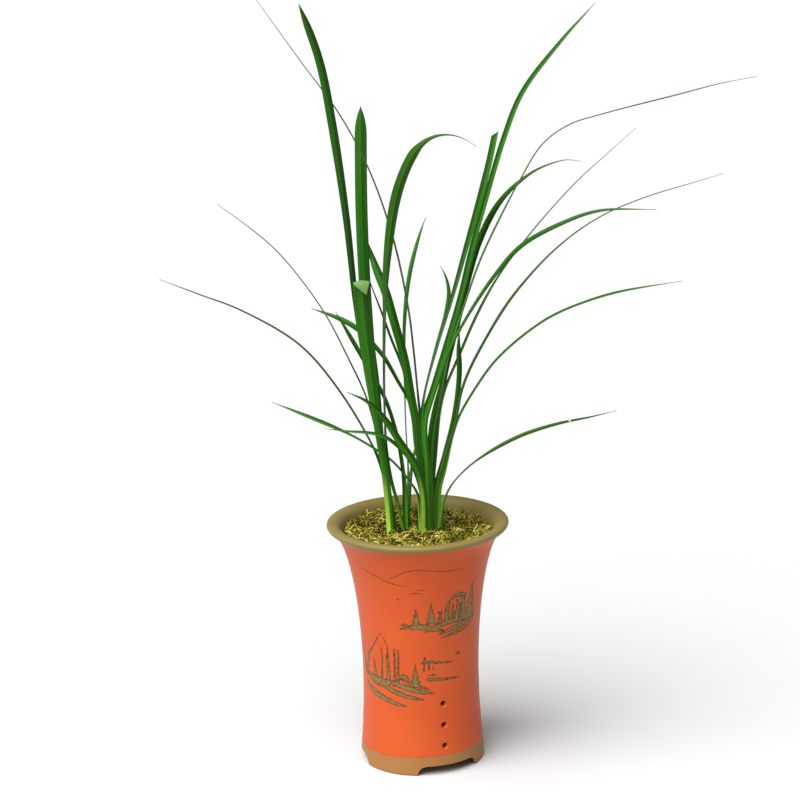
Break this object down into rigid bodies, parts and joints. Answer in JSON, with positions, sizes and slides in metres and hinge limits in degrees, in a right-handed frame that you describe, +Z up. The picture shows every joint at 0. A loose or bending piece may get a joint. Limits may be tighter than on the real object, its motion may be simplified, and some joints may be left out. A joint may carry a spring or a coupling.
{
  "type": "potted orchid",
  "caption": "Potted cymbidium orchid: long arching strap leaves in several shoots rise from moss in a flared clay pot on short feet.",
  "frame": {"origin": "ground level on the pot's axis, in the middle of the three feet", "axes": "+Z up; the plant's front, as pictured, faces halfway between +X and -Y, so the viewer's right hand is halfway between +X and +Y"},
  "size_m": [0.4754, 0.4755, 0.783],
  "materials": {
    "clay_pot": "matte, orange slip over bare clay",
    "drainage_grit": "rough",
    "potting_mix": "rough, crumbled bark",
    "rootstock": "matte, living bulbs and roots",
    "moss": "soft, matte",
    "leaf": "satin, living leaf"
  },
  "bodies": {
    "root": {"pot": "clay_pot", "drainage_grit": "drainage_grit", "potting_mix": "potting_mix", "rootstock": "rootstock", "moss": "moss", "left_leaf_1": "leaf", "left_leaf_2": "leaf", "left_leaf_3": "leaf", "left_leaf_4": "leaf", "left_leaf_5": "leaf", "middle_leaf_1": "leaf", "middle_leaf_2": "leaf", "middle_leaf_3": "leaf", "middle_leaf_4": "leaf", "front_leaf_1": "leaf", "front_leaf_2": "leaf", "front_leaf_3": "leaf", "centre_leaf_1": "leaf", "centre_leaf_2": "leaf", "centre_leaf_3": "leaf", "centre_leaf_4": "leaf", "centre_leaf_5": "leaf", "centre_leaf_6": "leaf", "centre_leaf_7": "leaf", "right_leaf_1": "leaf", "right_leaf_2": "leaf", "right_leaf_3": "leaf", "right_leaf_4": "leaf", "right_leaf_5": "leaf", "right_leaf_6": "leaf", "right_leaf_7": "leaf"}
  },
  "joints": []
}
